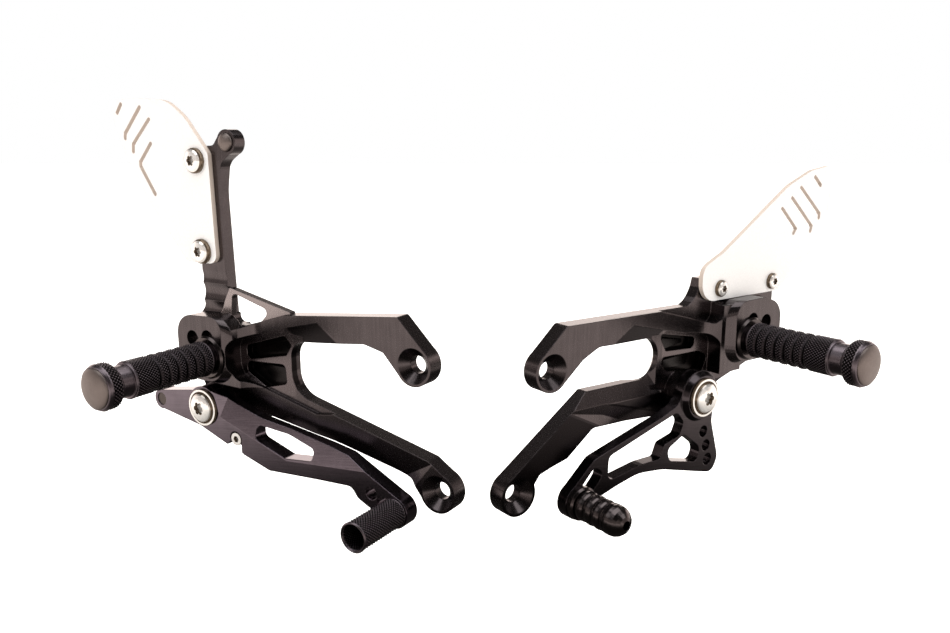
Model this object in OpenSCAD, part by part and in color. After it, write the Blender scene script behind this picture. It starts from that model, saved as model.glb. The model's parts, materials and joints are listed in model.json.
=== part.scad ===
// Rear sets footrest: the brake side and the gear side of a motorbike's rear foot controls.
// Each side is drawn on its own plate. u runs forward along the plate, w outward from its back face, z up.
// The origin of each side is the centre of its upper mounting bore, on the back face.

/* [Placement of the pair] */
// Turn of the brake side about its upper bore
brake_yaw = 31.4; // [0:0.1:60]
// Turn of the gear side about its upper bore
shift_yaw = 35.8; // [0:0.1:60]
// Sideways distance between the two upper bores
pair_span = 63.3; // [50:0.1:90]
// How far the gear side stands nearer than the brake side
pair_stagger = 2.1; // [0:0.1:10]
// How far the gear side's upper bore lies below the brake side's
pair_drop = 2.8; // [0:0.1:10]

/* [Brackets] */
// Thickness of the legs and mounting ends
leg_t = 10.5; // [9.5:0.1:12]
// Thickness of the arm, the web and the land round the pockets
land_t = 8; // [7:0.1:9]
// Thickness of the web between the arm and the upper leg
web_t = 4.5; // [3:0.1:7]
// Height of the footpeg boss above the back face
boss_t = 21.8; // [19:0.1:26]
// Radius of the round mounting ends
nose_r = 11.5; // [10.8:0.1:13]
// Bore for each mounting screw
mount_d = 10; // [8:0.1:11]
// Countersink of each mounting bore
sink_d = 20; // [16:0.1:21]
// Spare footpeg holes in the boss
spare_d = 10; // [7:0.1:11]
// Depth of the wedge-floored pockets below the land
pocket_deep = 4.5; // [2:0.1:6]
// Outer diameter of the pivot boss and its ear
ear_d = 27; // [24:0.1:30]

/* [Brake side bracket] */
// Forward offset of the lower mounting bore
brake_low_run = 15; // [11:0.1:19]
// Drop of the lower mounting bore
brake_low_drop = 69.5; // [66:0.1:74]
// Footpeg axis behind the upper bore
brake_peg_back = 145.5; // [143:0.1:148]
// Footpeg axis below the upper bore
brake_peg_drop = 12.2; // [10:0.1:14]
// Lever pivot behind the upper bore
brake_pivot_back = 151; // [149:0.1:153]
// Lever pivot below the upper bore
brake_pivot_drop = 44.8; // [43:0.1:47]
// Height of the eye on top of the arm
arm_eye_z = 117; // [112:0.1:125]
// Outer diameter of that eye
arm_eye_d = 15; // [13:0.1:18]
// Diameter of the domed plug in the eye
arm_plug_d = 11; // [8:0.1:12]

/* [Gear side bracket] */
// Forward offset of the lower mounting bore
shift_low_run = 22.4; // [19:0.1:26]
// Drop of the lower mounting bore
shift_low_drop = 65.2; // [62:0.1:69]
// Footpeg axis behind the upper bore
shift_peg_back = 152.5; // [150:0.1:155]
// Footpeg axis below the upper bore
shift_peg_drop = 0.5; // [-1:0.1:2]
// Lever pivot behind the upper bore
shift_pivot_back = 105; // [103:0.1:107]
// Lever pivot below the upper bore
shift_pivot_drop = 29; // [27:0.1:31]

/* [Footpegs] */
// Diameter over the knurled grip
grip_d = 22; // [20:0.1:24]
// Length of the knurled grip
grip_l = 55; // [50:0.5:70]
// Ring grooves round the inner half of the grip
groove_n = 6; // [2:1:7]
// Spacing of the ring grooves
groove_pitch = 6.4; // [5:0.1:7]
// Depth of the ring grooves
groove_deep = 1.3; // [0.5:0.1:2]
// Diameter of the smooth necks at the grip's two ends
neck_d = 18.5; // [16:0.1:19.5]
// Length of the neck between grip and end ring
neck_l = 7; // [4:0.1:12]
// Wall of the flared end ring round the end cap
ring_wall = 1.7; // [1.2:0.1:3]
// Length of the end ring with its flare
ring_l = 11.5; // [10:0.1:16]
// Diameter of the domed end cap
cap_d = 23.2; // [18:0.1:23.8]
// Rise of the end cap's dome
cap_rise = 2.6; // [1:0.1:4]
// Diameter of the seat collar against the boss
collar_d = 27; // [24:0.1:30]
// Thickness of the seat collar
collar_t = 2.4; // [1.5:0.1:5]
// Screw that holds the footpeg from behind
peg_bolt_d = 8; // [6:0.1:9]

/* [Levers] */
// Height of the levers' outer faces above the bracket's back face
lever_face = 23.8; // [22:0.1:28]
// Thickness of the brake lever
brake_lever_t = 9.5; // [8:0.1:11]
// Thickness of the gear lever
shift_lever_t = 7; // [5:0.1:9]
// Rise of the gear lever's hub above its face
hub_rise = 3.4; // [1:0.1:4]
// Diameter of the pivot bolt's shank
pivot_d = 10; // [8:0.1:11]
// Wall of the plain bush in each lever
bush_wall = 1.5; // [1:0.1:2]
// Thickness of the thrust washer behind each lever
washer_t = 1; // [0.6:0.1:2]
// Diameter of the pivot bolt's head
head_d = 23.5; // [20:0.1:25]
// Height of the pivot bolt's head
head_h = 4.4; // [3.5:0.1:7]
// Diameter of the brake lever's toe tube
toe_tube_d = 17; // [15:0.1:18]
// Bore of the brake lever's toe tube
toe_tube_bore = 14.4; // [12.5:0.1:14.6]
// Length of the brake lever's toe tube
toe_tube_l = 35; // [25:0.5:45]
// Diameter of the gear lever's ribbed toe peg
toe_peg_d = 17; // [15:0.1:18]
// Length of the gear lever's ribbed toe peg
toe_peg_l = 36; // [30:0.5:45]
// Brake toe tube's axis behind the upper bore
brake_toe_back = 5; // [-5:0.5:15]
// Brake toe tube's axis below the upper bore
brake_toe_drop = 80.3; // [74:0.1:88]
// Gear toe peg's axis behind the upper bore
shift_toe_back = 9.5; // [0:0.5:20]
// Gear toe peg's axis below the upper bore
shift_toe_drop = 72; // [66:0.1:80]
// Slope of the facets milled on the brake lever
facet_slope = 14; // [8:0.5:18]

/* [Heel guards] */
// Thickness of the guard plates
guard_t = 3; // [2:0.1:4]
// Width of the slots in the guards
slot_w = 2.8; // [1.5:0.1:3.5]
// Head diameter of the brake guard's screws
brake_screw_head_d = 15.5; // [10:0.1:17]
// Head diameter of the gear guard's screws
shift_screw_head_d = 10.5; // [8:0.1:13]
// Shank of the guard screws
guard_screw_d = 6; // [4:0.1:7]
// Head height of the guard screws
guard_head_h = 3.3; // [2.5:0.1:5]

/* [Fits] */
// Radial clearance of shanks, bushes and plugs
fit = 0.05; // [0.02:0.01:0.1]
// End clearance of the levers between washer and bolt head
end_play = 0.1; // [0.05:0.01:0.3]

/* [Hidden] */

$fn = 48;
arc_step = 12;
over = 1;
far = 260;

black = [0.13, 0.12, 0.12];
satin = [0.62, 0.59, 0.58];
white = [0.93, 0.92, 0.90];
steel = [0.80, 0.79, 0.77];
bronze = [0.66, 0.52, 0.32];
grey = [0.36, 0.35, 0.34];

// Axes of each side, in its own plate coordinates [u, z]
brake_low = [brake_low_run, -brake_low_drop];
brake_peg = [-brake_peg_back, -brake_peg_drop];
brake_pivot = [-brake_pivot_back, -brake_pivot_drop];
arm_eye = [-134.7, arm_eye_z];
brake_spares = [[-0.5, 11.7], [-13.5, 10.2], [-13, -1.5]];
shift_low = [shift_low_run, -shift_low_drop];
shift_peg = [-shift_peg_back, -shift_peg_drop];
shift_pivot = [-shift_pivot_back, -shift_pivot_drop];
shift_spares = [[-2, 11], [-15.5, 8.5], [-13.5, -2.5]];

// Screws of the guards
arm_screw_u = -158.5;
brake_screws = [[arm_screw_u, arm_eye_z - 11], [arm_screw_u + 1, 51]];
shift_screws = [[-135, 31.5], [-186, 31]];
guard_w = land_t;

// Levels of the pivot stacks
brake_lever_w = lever_face - brake_lever_t;
shift_lever_w = lever_face - shift_lever_t;
bush_d = pivot_d + 2 * fit + 2 * bush_wall;
pivot_nut_t = 6;
pivot_nut_af = 17;

// Toe ends and rod holes of the levers, measured from the pivots
brake_toe = [brake_pivot_back - brake_toe_back, brake_pivot_drop - brake_toe_drop];
brake_drawn = [146, -35.5];
brake_toe_r = 9.2;
brake_tail = [-39, -1];
stop_at = [27, -16];
stop_d = 8;
stop_seat = brake_lever_w + 3.5;
shift_toe = [shift_pivot_back - shift_toe_back, shift_pivot_drop - shift_toe_drop];
shift_drawn = [95.5, -43];
shift_toe_r = 10;
toe_bolt_d = 6;
rod_holes = [[-5.5, -23.5, 7.2], [-8.5, -33, 7.2], [-10.5, -42.5, 7.6]];
clevis_d = 8;
journal_d = 7;
pin_out = 9;
clip_w = 0.8;

// Unit vector along v
function unit(v) = v / norm(v);
// Point at the angle a on the circle of radius r round c
function on(c, r, a) = c + r * [cos(a), sin(a)];
// The same, a little inside the circle, so that an outline runs clear into a round end
function into(c, r, a) = on(c, r - 0.15, a);
// Arc of radius r that rounds the corner p between its neighbours a and b
function corner_arc(a, p, b, r) =
    let (
        to_a = unit([a.x - p.x, a.y - p.y]),
        to_b = unit([b.x - p.x, b.y - p.y]),
        half = acos(to_a * to_b) / 2,
        centre = [p.x, p.y] + unit(to_a + to_b) * r / sin(half),
        start = [p.x, p.y] + to_a * r / tan(half) - centre,
        end = [p.x, p.y] + to_b * r / tan(half) - centre,
        a0 = atan2(start.y, start.x),
        raw = atan2(end.y, end.x) - a0,
        turn = raw > 180 ? raw - 360 : raw < -180 ? raw + 360 : raw,
        steps = max(1, ceil(abs(turn) / arc_step))
    )
    [for (i = [0:steps]) on(centre, r, a0 + turn * i / steps)];
// Outline whose corners [u, z, radius] are rounded
function rounded(c) =
    let (n = len(c))
    [for (i = [0:n - 1]) each c[i][2] > 0
        ? corner_arc(c[(i + n - 1) % n], c[i], c[(i + 1) % n], c[i][2])
        : [[c[i].x, c[i].y]]];
// The same point with a corner radius
function at(p, r = 0) = [p.x, p.y, r];
// Outline drawn for a toe end at one point, stretched to another
function reach(c, toe, drawn) = [
    for (p = c) [p.x * toe.x / drawn.x, p.y * toe.y / drawn.y, if (len(p) > 2) p[2]]
];
// Outline moved by d
function moved(c, d) = [for (p = c) [p.x + d.x, p.y + d.y, p[2]]];

// Plate between the levels w0 and w1, from an outline in [u, z]
module slab(w0, w1) {
    translate([0, -w0, 0]) rotate([90, 0, 0]) linear_extrude(w1 - w0) children();
}

// Round bar or bore along w at the point p
module post(p, d, w0, w1) {
    translate([p.x, -w0, p.y]) rotate([90, 0, 0]) cylinder(h = w1 - w0, d = d);
}

// Cone along w at the point p
module taper(p, d0, d1, w0, w1) {
    translate([p.x, -w0, p.y]) rotate([90, 0, 0]) cylinder(h = w1 - w0, d1 = d0, d2 = d1);
}

// Turned piece along w at the point p, from a profile of [radius, height above w0]
module turned(p, w0, profile) {
    translate([p.x, -w0, p.y]) rotate([90, 0, 0]) rotate_extrude() polygon(profile);
}

// Space above a plane that starts on the line from a to b at the level w and sinks to its left
module above_slope(a, b, w, slope) {
    along = atan2(b.y - a.y, b.x - a.x);
    translate([a.x, -w, a.y]) rotate([90, 0, 0]) rotate([0, 0, along]) rotate([-slope, 0, 0])
        translate([-far, 0, 0]) cube([2 * far, far, far]);
}

// Cut inside an outline whose floor climbs from the land to the leg's face at the line from a to b
module run_out(outline, a, b, slope) {
    intersection() {
        slab(land_t, leg_t + over) polygon(outline);
        above_slope(a, b, leg_t, slope);
    }
}

// Blind pocket whose floor rises as a wedge towards the mounting ends
module wedge_pocket(outline, island, u_low, u_high) {
    floor_w = land_t - pocket_deep;
    difference() {
        slab(floor_w, boss_t + over) polygon(rounded(outline));
        intersection() {
            slab(floor_w - over, land_t) polygon(rounded(island));
            translate([0, 0, -far / 2]) linear_extrude(far)
                polygon([
                    [u_low, -floor_w + over], [u_low, -floor_w],
                    [u_high, -land_t + 0.8], [u_high, -floor_w + over]
                ]);
        }
    }
}

// Six-lobed driver recess of outer diameter d, from the level w0 to w1
module lobed_recess(p, d, w0, w1) {
    lobe_r = 0.17 * d;
    slab(w0, w1) translate(p) {
        circle(d = 0.74 * d);
        for (i = [0:5]) rotate(60 * i) translate([d / 2 - lobe_r, 0]) circle(r = lobe_r, $fn = 24);
    }
}

// Mounting bore with its countersink in an end of thickness leg_t
module mount_bore(p) {
    post(p, mount_d, -over, leg_t + over);
    taper(p, mount_d, sink_d, leg_t - (sink_d - mount_d) / 2, leg_t);
    post(p, sink_d, leg_t, leg_t + over);
}

// Thick boss with a bevelled rim, from the outline of its face and of its foot
module bevel_boss(face, foot) {
    bevel_h = 4;
    hull() {
        slab(0, boss_t - bevel_h) polygon(rounded(foot));
        slab(boss_t - 0.1, boss_t) polygon(rounded(face));
    }
}

// Concave ramp from the leg's level at u_foot up to the boss
module ramp(outline, u_foot, ramp_r) {
    difference() {
        slab(0, boss_t - 4) polygon(rounded(outline));
        translate([u_foot, -leg_t - ramp_r, -far / 2]) cylinder(h = far, r = ramp_r, $fn = 96);
    }
}

// Unit normal of the line from a to b
function side_of(a, b) = let (d = unit(b - a)) [-d.y, d.x];
// Sideways step of unit width at the point i of a path
function mitre(path, i) =
    i == 0 ? side_of(path[0], path[1])
    : i == len(path) - 1 ? side_of(path[i - 1], path[i])
    : let (n = side_of(path[i - 1], path[i]), m = unit(n + side_of(path[i], path[i + 1]))) m / (m * n);
// Half round end at p whose path arrives with the direction d
function round_end(p, d, r) = let (a = atan2(d.y, d.x)) [for (t = [72:-18:-72]) on(p, r, a + t)];
// Outline of a slot that follows a path and has round ends
function slot(path, width) =
    let (last = len(path) - 1, h = width / 2)
    [
        for (i = [0:last]) path[i] + h * mitre(path, i),
        each round_end(path[last], path[last] - path[last - 1], h),
        for (i = [last:-1:0]) path[i] - h * mitre(path, i),
        each round_end(path[0], path[0] - path[1], h)
    ];

module brake_side() {
    rotate([0, 0, -brake_yaw]) children();
}

module shift_side() {
    translate([pair_span, -pair_stagger, -pair_drop]) rotate([0, 0, shift_yaw]) mirror([1, 0, 0]) children();
}

// Brake side bracket

brake_gap_u = -90.5;
brake_legs = [
    [-93, 17.6, 0], [-10, 26, 2], at(into([0, 0], nose_r, 47)), at(into([0, 0], nose_r, 227)),
    [-20, 5, 3], [-33, 8, 8], [-72, 3.6, 4], [brake_gap_u, 1.8, 11], [brake_gap_u, -29.6, 16],
    at(brake_low + [-6, 17.2], 3), at(into(brake_low, nose_r, 50)), at(into(brake_low, nose_r, 228)),
    at(brake_low + [-17.5, 4.5], 4), [-12, -62.5, 6], [-60, -53.5, 30], [-112, -47, 5],
    [-119, -54, 6], at(into(brake_pivot, ear_d / 2, -70)), at(into(brake_pivot, ear_d / 2, 170)),
    [-171, -24, 0], [-168, 8, 0], [-152, 10, 0], [-138.5, 4.2, 7], [-124, 8, 20]
];

module brake_pockets() {
    wedge_pocket(
        [[-127, -5.2, 3.6], [-95, 4.8, 3], [-89.6, -0.6, 1.2], [-94.3, -7.4, 1.2], [-126.6, -14.2, 3.6]],
        [[-118, -6.5, 0.5], [-96, 1.6, 1], [-88, 2, 0.5], [-92, -5.6, 0.5], [-118, -9, 0.5]], -119, -91);
    wedge_pocket(
        [[-126.5, -14.9, 3.6], [-95.4, -13.2, 3], [-94.6, -25.2, 2.5], [-111.5, -29.8, 2],
            [-127.5, -21.6, 3.6]],
        [[-119, -16.4, 0.5], [-92, -15, 0.5], [-92, -23.6, 0.5], [-108, -26.6, 0.5]], -120, -95);
}

module brake_arm() {
    arm_left = -162;
    slab(0, land_t) {
        polygon(rounded([
            [-170, 6, 0], [arm_left - 4, 10, 0], [arm_left, 16, 8], [arm_left, arm_eye_z - 2.5, 2],
            at(arm_eye + [-11, -2], 4),
            at(into(arm_eye, arm_eye_d / 2, 150)), at(into(arm_eye, arm_eye_d / 2, -50)),
            at(arm_eye + [-5.5, -12], 9), [-143.2, 88, 40], [-141.5, 40, 0], [-140, 6, 0]
        ]));
        translate(arm_eye) circle(d = arm_eye_d);
    }
}

brake_window = [[-137, 26.8, 3.5], [-106, 18.4, 3], [-113, 11.4, 5], [-124.5, 7.4, 9], [-139.4, 7.4, 4]];

module brake_web() {
    slab(land_t - web_t, land_t) difference() {
        polygon(rounded([
            [-140, 29.8, 2.5], [-89.5, 19.2, 0.8], [-92, 12, 0], [-124, 0, 0], [-154, 6, 0], [-146, 15, 6]
        ]));
        polygon(rounded(brake_window));
    }
}

module brake_bracket() {
    scoop_r = 11;
    lower_slope = 7;
    ridge = [[-131.5, -23.1], [-70.4, -39.7], [-50, -36.4], [12.9, -52.4]];
    color(black) brake_side() difference() {
        union() {
            difference() {
                slab(0, leg_t) {
                    polygon(rounded(brake_legs));
                    circle(r = nose_r);
                    translate(brake_low) circle(r = nose_r);
                    translate(brake_pivot) circle(d = ear_d);
                }
                run_out(
                    [[-112, 5.4], [-67, 16.2], [-40, 3], [-40, -14], [-112, -14]], [-49, 5], [-66, 17], 6);
                intersection() {
                    above_slope([-3, -72], ridge[3], leg_t, 2 * lower_slope);
                    union() {
                        above_slope(ridge[1], ridge[0], leg_t, lower_slope);
                        intersection() {
                            above_slope(ridge[2], ridge[1], leg_t, lower_slope);
                            above_slope(ridge[3], ridge[2], leg_t, lower_slope);
                        }
                    }
                }
            }
            difference() {
                brake_arm();
                for (s = [[34.8, 0.7], [25.5, 1.5], [16, 0.8]])
                    translate([-180, s[1] - land_t - scoop_r, s[0]]) rotate([0, 90, 0])
                        cylinder(h = 39, r = scoop_r);
            }
            brake_web();
            ramp(
                [[-150, 9, 0], [-138.5, 3.2, 7], [-124, 7.2, 20], [-111, 12, 0], [-111, -30, 0],
                    [-150, -30, 0]],
                -111, 15);
            bevel_boss(
                moved(
                    [[-27, 24.2, 13], [11.5, 25.9, 9], [11.5, -15.8, 13], [-15, -15.8, 13], [-27, -2, 9]],
                    brake_peg),
                moved(
                    [[-27, 24.2, 13], [16.8, 25.9, 14], [17.5, -17, 15], [-15, -17, 13], [-27, -2, 9]],
                    brake_peg));
            post(brake_pivot, ear_d, 0, brake_lever_w - end_play - washer_t);
        }
        slab(land_t, boss_t + over) polygon(rounded([
            [-132.5, -1, 9], [-104, 7, 10], [-80, 6, 0], [-80, -20, 0], [-56, -26, 0],
            at(ridge[2] + [0.6, 0.4]), at(ridge[1] + [0, 0.5]), [-112, -29.6, 12], [-132.5, -23, 9]
        ]));
        slab(-over, land_t) polygon(rounded(brake_window));
        brake_pockets();
        mount_bore([0, 0]);
        mount_bore(brake_low);
        post(brake_peg, peg_bolt_d + 2 * fit, -over, boss_t + over);
        for (s = brake_spares) post(brake_peg + s, spare_d, -over, boss_t + over);
        post(brake_pivot, pivot_d + 2 * fit, -over, boss_t + over);
        post(arm_eye, arm_plug_d, 2, boss_t);
        for (s = brake_screws) post(s, guard_screw_d + 2 * fit, -over, land_t + over);
    }
}

module brake_arm_plug() {
    r = arm_plug_d / 2 - fit;
    color(grey) brake_side() turned(arm_eye, 2,
        [[0, 0], [r, 0], [r, land_t - 1.6], for (a = [0:15:90]) [r * cos(a), land_t - 1.6 + 2.4 * sin(a)]]);
}

// Gear side bracket

shift_gap_u = -84.5;
shift_legs = [
    [-10, 24, 3], at(into([0, 0], nose_r, 49)), at(into([0, 0], nose_r, 229)), [-22, 3.5, 4], [-34, 9, 9],
    [-70, 8, 0], [shift_gap_u, 7.6, 12], [shift_gap_u, -17.6, 12.4], [-28, -16.7, 3],
    at(into(shift_low, nose_r, 54)), at(into(shift_low, nose_r, 160)), at(shift_low + [-14.5, 8.8], 3),
    at(shift_low + [-23, 11.2], 3), [-12, -51.5, 4], [-31, -37.6, 6], [-80, -40.5, 0],
    at(into(shift_pivot, ear_d / 2, -60)), at(into(shift_pivot, ear_d / 2, 250)),
    [-140, -27.5, 4], [-166, -20, 5], [-178, 0, 0], [-178, 21.8, 0]
];

module shift_pockets() {
    wedge_pocket(
        [[-87, 8.6, 1.5], [-118, 2.6, 3], [-115.5, -4, 3], [-91.2, -2.6, 1.5], [-86.6, 5.5, 1]],
        [[-84, 6.5, 0.5], [-110, 1.5, 1], [-110, -0.5, 0.5], [-92, -1.4, 0.5], [-84, 3, 0.5]], -111, -88);
    wedge_pocket(
        [[-88.7, -6.1, 2.5], [-120.4, -6.6, 8], [-130.2, -11, 4], [-124.5, -21, 4], [-112, -17.8, 6],
            [-92, -15.4, 2], [-87.4, -10, 1.5]],
        [[-86, -8, 0.5], [-117, -8, 1], [-114, -15.4, 4], [-98, -14.4, 3], [-86, -12, 0.5]], -118, -90);
}

module shift_tab() {
    tab_top = 38.5;
    slab(0, land_t) polygon([
        [-106, 20], [-110, 22.9], [-113.3, 24.7], [-115.8, 27.3], [-117.8, 30.2], [-119.3, 33.2],
        [-120.7, tab_top], [-190, tab_top], [-192, tab_top - 4], [-192, 14.5], [-178, 6]
    ]);
}

module shift_bracket() {
    lower_slope = 9;
    color(black) shift_side() difference() {
        union() {
            difference() {
                slab(0, leg_t) {
                    polygon(rounded(shift_legs));
                    circle(r = nose_r);
                    translate(shift_low) circle(r = nose_r);
                    translate(shift_pivot) circle(d = ear_d);
                }
                run_out(
                    [[-108, 6.4], [-60.5, 17.8], [-34, 2], [-34, -8], [-108, -8]], [-42, 8], [-60, 19], 6);
                taper([shift_gap_u + 12, -5], 32.4, 23.6, -0.01, 4.4);
                intersection() {
                    above_slope([-84, -27], [-11, -24.6], leg_t, 25);
                    above_slope([-9, -26], [-18, -14.5], leg_t, 25);
                    above_slope([-86, 0], [-86, -27], leg_t, 40);
                    translate([-90, -40, -30]) cube([90, 80, 30]);
                }
                intersection() {
                    above_slope([-40, -24.4], [-80, -36.2], leg_t, lower_slope);
                    above_slope([-10, -25.4], [-40, -24.4], leg_t, lower_slope);
                    above_slope([-34.7, -37.8], [-10, -25.4], leg_t, lower_slope);
                }
            }
            shift_tab();
            ramp([[-150, 21.5, 0], [-118, 22.4, 0], [-117, -21, 0], [-150, -21, 0]], -117, 15);
            bevel_boss(
                moved(
                    [[13.5, 24.3, 10], [-13, 24.6, 14], [-30.5, 19, 13], [-30.5, -6, 12], [-18, -14.5, 8],
                        [13.5, -14.5, 11]],
                    shift_peg),
                moved(
                    [[19, 24.3, 12], [-13, 24.6, 14], [-30.5, 19, 13], [-30.5, -6, 12], [-18, -15.5, 8],
                        [19, -15.5, 13]],
                    shift_peg));
            post(shift_pivot, ear_d, 0, shift_lever_w - end_play - washer_t);
        }
        slab(land_t, boss_t + over) difference() {
            polygon(rounded([
                [-78, 9, 0], [-112, 6.5, 6], [-130, 3.4, 8], [-130, -24, 8], [-118, -31, 6], [-78, -24, 0]
            ]));
            translate(shift_pivot) circle(d = ear_d);
        }
        slab(land_t - 0.6, boss_t - 2) polygon(rounded([
            [-84, 40, 0], [-84, 22.8, 0], [-127.5, 10.6, 2], [-131.4, 15, 5], [-131.4, 40, 0]
        ]));
        shift_pockets();
        mount_bore([0, 0]);
        mount_bore(shift_low);
        post(shift_peg, peg_bolt_d + 2 * fit, -over, boss_t + over);
        for (s = shift_spares) post(shift_peg + s, spare_d, -over, boss_t + over);
        post(shift_pivot, pivot_d + 2 * fit, -over, boss_t + over);
        for (s = shift_screws) post(s, guard_screw_d + 2 * fit, -over, land_t + over);
    }
}

// Heel guards

module guard_plate(outline, slots, screws) {
    color(white) slab(guard_w, guard_w + guard_t) difference() {
        polygon(rounded(outline));
        for (s = slots) polygon(slot(s, slot_w));
        for (s = screws) translate(s) circle(d = guard_screw_d + 2 * fit);
    }
}

module brake_heel_guard() {
    brake_side() guard_plate(
        [[-145.3, 44, 6], [-146, 60, 0], [-147.4, 110.5, 5], [-166, 132, 30], [-181, 142, 25],
            [-212, 143.6, 12], [-234, 142, 4], [-231, 129, 10], [-223, 110, 12], [-206, 82, 20],
            [-172, 43.4, 8]],
        [[[-223.8, 139.8], [-227.8, 134.9]],
            [[-206, 137.8], [-221.5, 122], [-222, 119]],
            [[-198, 130.4], [-214.5, 115.2], [-215, 110.8]],
            [[-198, 115.6], [-208.9, 104.2], [-208.9, 101.6], [-197.2, 84.6]]],
        brake_screws);
}

module shift_heel_guard() {
    shift_side() guard_plate(
        [[-117.6, 24.2, 12], [-118, 45.5, 9], [-137, 53.8, 12], [-198, 92, 30], [-222, 101, 20],
            [-244, 104, 4], [-246, 92, 10], [-243, 66, 12], [-232, 50, 14], [-193.2, 24.2, 3]],
        [[[-225.7, 96.4], [-232.4, 91]],
            [[-211, 90], [-233.4, 72], [-233.4, 69.4]],
            [[-202, 83.6], [-225.6, 64], [-224.8, 61]],
            [[-192.2, 77.2], [-208, 63.4], [-206.2, 60.9]]],
        shift_screws);
}

// Low domed screw with a lobed recess, its head seated at the level w
module dome_screw(p, w, head, rise, shank, shank_l, drive) {
    rim = 0.3 * rise;
    color(steel) difference() {
        union() {
            turned(p, w, [[0, 0], [head / 2, 0], [head / 2, rim],
                for (a = [15:15:90]) [head / 2 * cos(a), rim + (rise - rim) * sin(a)]]);
            post(p, shank, w - shank_l, w + rim / 2);
        }
        lobed_recess(p, drive, w + 0.35 * rise, w + rise + over);
    }
}

module brake_guard_screw(i) {
    brake_side() dome_screw(
        brake_screws[i], guard_w + guard_t, brake_screw_head_d, guard_head_h + 0.9, guard_screw_d,
        guard_t + land_t, 6.4);
}

module shift_guard_screw(i) {
    shift_side() dome_screw(
        shift_screws[i], guard_w + guard_t, shift_screw_head_d, guard_head_h, guard_screw_d,
        guard_t + land_t, 4.6);
}

// Footpeg pieces, all turned about the peg's axis and built outward from the boss

grip_from = boss_t + collar_t + 2.8;
grip_to = grip_from + grip_l;
ring_from = grip_to + neck_l;
ring_to = ring_from + ring_l;

module peg_collar(p) {
    bevel = 1.2;
    color(black) difference() {
        turned(p, boss_t, [[0, 0], [collar_d / 2, 0], [collar_d / 2, collar_t - bevel],
            [collar_d / 2 - bevel, collar_t], [0, collar_t]]);
        post(p, peg_bolt_d + 2 * fit, boss_t - over, boss_t + collar_t + over);
    }
}

module peg_grip(p) {
    seat = boss_t + collar_t;
    r = grip_d / 2;
    flare = 3.4;
    edge = 1.8;
    ring_r = cap_d / 2 + ring_wall;
    color(black) difference() {
        turned(p, 0, [
            [0, seat], [neck_d / 2 - 0.8, seat], [neck_d / 2 - 0.8, grip_from],
            [r - 0.6, grip_from], [r, grip_from + 0.6],
            for (i = [0:groove_n - 1])
                let (w = grip_from + groove_pitch * (i + 0.95))
                for (s = [-1.6, -0.8, 0, 0.8, 1.6]) [r - groove_deep * (1 - (s / 1.6) * (s / 1.6)), w + s],
            [r, grip_to - 0.4], [r - 0.4, grip_to], [neck_d / 2, grip_to], [neck_d / 2, ring_from],
            [ring_r, ring_from + flare], [ring_r, ring_to - edge], [cap_d / 2 + 0.3, ring_to], [0, ring_to]
        ]);
        post(p, peg_bolt_d + 2 * fit, seat - over, seat + 26);
        post(p, cap_d, ring_to - 1.2, ring_to + over);
        post(p, cap_d - 6, ring_to - 6, ring_to);
    }
}

module peg_end_cap(p) {
    r = cap_d / 2 - fit;
    plug_r = r - 3;
    color(grey) turned(p, ring_to, [
        [0, -5.5], [plug_r, -5.5], [plug_r, -1.2], [r, -1.2],
        for (a = [0:10:90]) [r * cos(a), cap_rise * sin(a)]
    ]);
}

module peg_bolt(p) {
    head = 14;
    head_t = 5;
    color(steel) difference() {
        union() {
            post(p, head, -head_t, 0);
            post(p, peg_bolt_d, -over, boss_t + collar_t + 24);
        }
        translate([p.x, head_t + over, p.y]) rotate([90, 0, 0]) cylinder(h = 3.5 + over, d = 7, $fn = 6);
    }
}

// Pivot set of a lever whose inner face lies at the level w0 and outer face at w1

module pivot_washer(p, w0) {
    color(steel) difference() {
        post(p, ear_d - 3, w0 - end_play - washer_t, w0 - end_play);
        post(p, pivot_d + 2 * fit, w0 - end_play - washer_t - over, w0);
    }
}

module lever_bush(p, w0, w1) {
    color(bronze) difference() {
        post(p, bush_d, w0, w1);
        post(p, pivot_d + 2 * fit, w0 - over, w1 + over);
    }
}

module pivot_bolt(p, w1) {
    seat = w1 + end_play;
    rim = 1.5;
    r = head_d / 2;
    color(steel) difference() {
        union() {
            turned(p, seat, [
                [0, 0], [r, 0], [r, rim - 0.3], [r - 0.3, rim], [r - 1.5, rim], [r - 1.9, rim - 0.5],
                [r - 2.3, rim],
                for (a = [10:10:90]) [(r - 2.3) * cos(a), rim + (head_h - rim) * sin(a)]
            ]);
            post(p, pivot_d, -pivot_nut_t - 1, seat + over);
        }
        lobed_recess(p, 8.4, seat + head_h - 2.9, seat + head_h + over);
    }
}

module pivot_nut(p) {
    color(steel) difference() {
        translate([p.x, pivot_nut_t, p.y]) rotate([90, 0, 0])
            cylinder(h = pivot_nut_t, d = pivot_nut_af / cos(30), $fn = 6);
        post(p, pivot_d + 2 * fit, -pivot_nut_t - over, over);
    }
}

// Brake lever, drawn from its pivot

brake_lever_outline = [
    [-38, 5.2, 0], [-13, 9.2, 0], [8, 11.6, 6],
    each reach([[26, 5.6, 12], [45, 0.2, 30], [98.5, -6.8, 0], [113.4, -9.4, 8]], brake_toe, brake_drawn),
    at(into(brake_toe, brake_toe_r, 64)), at(into(brake_toe, brake_toe_r, 236)),
    each reach([
        [131, -37, 6], [121.5, -32.6, 5], [117, -26.6, 5], [91, -28, 30], [54, -30.6, 5], [32.5, -24.6, 0],
        [32.5, -24.2, 0], [18, -20.2, 0]
    ], brake_toe, brake_drawn),
    [-4, -12.6, 10], [-38, -7.2, 0]
];

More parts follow.
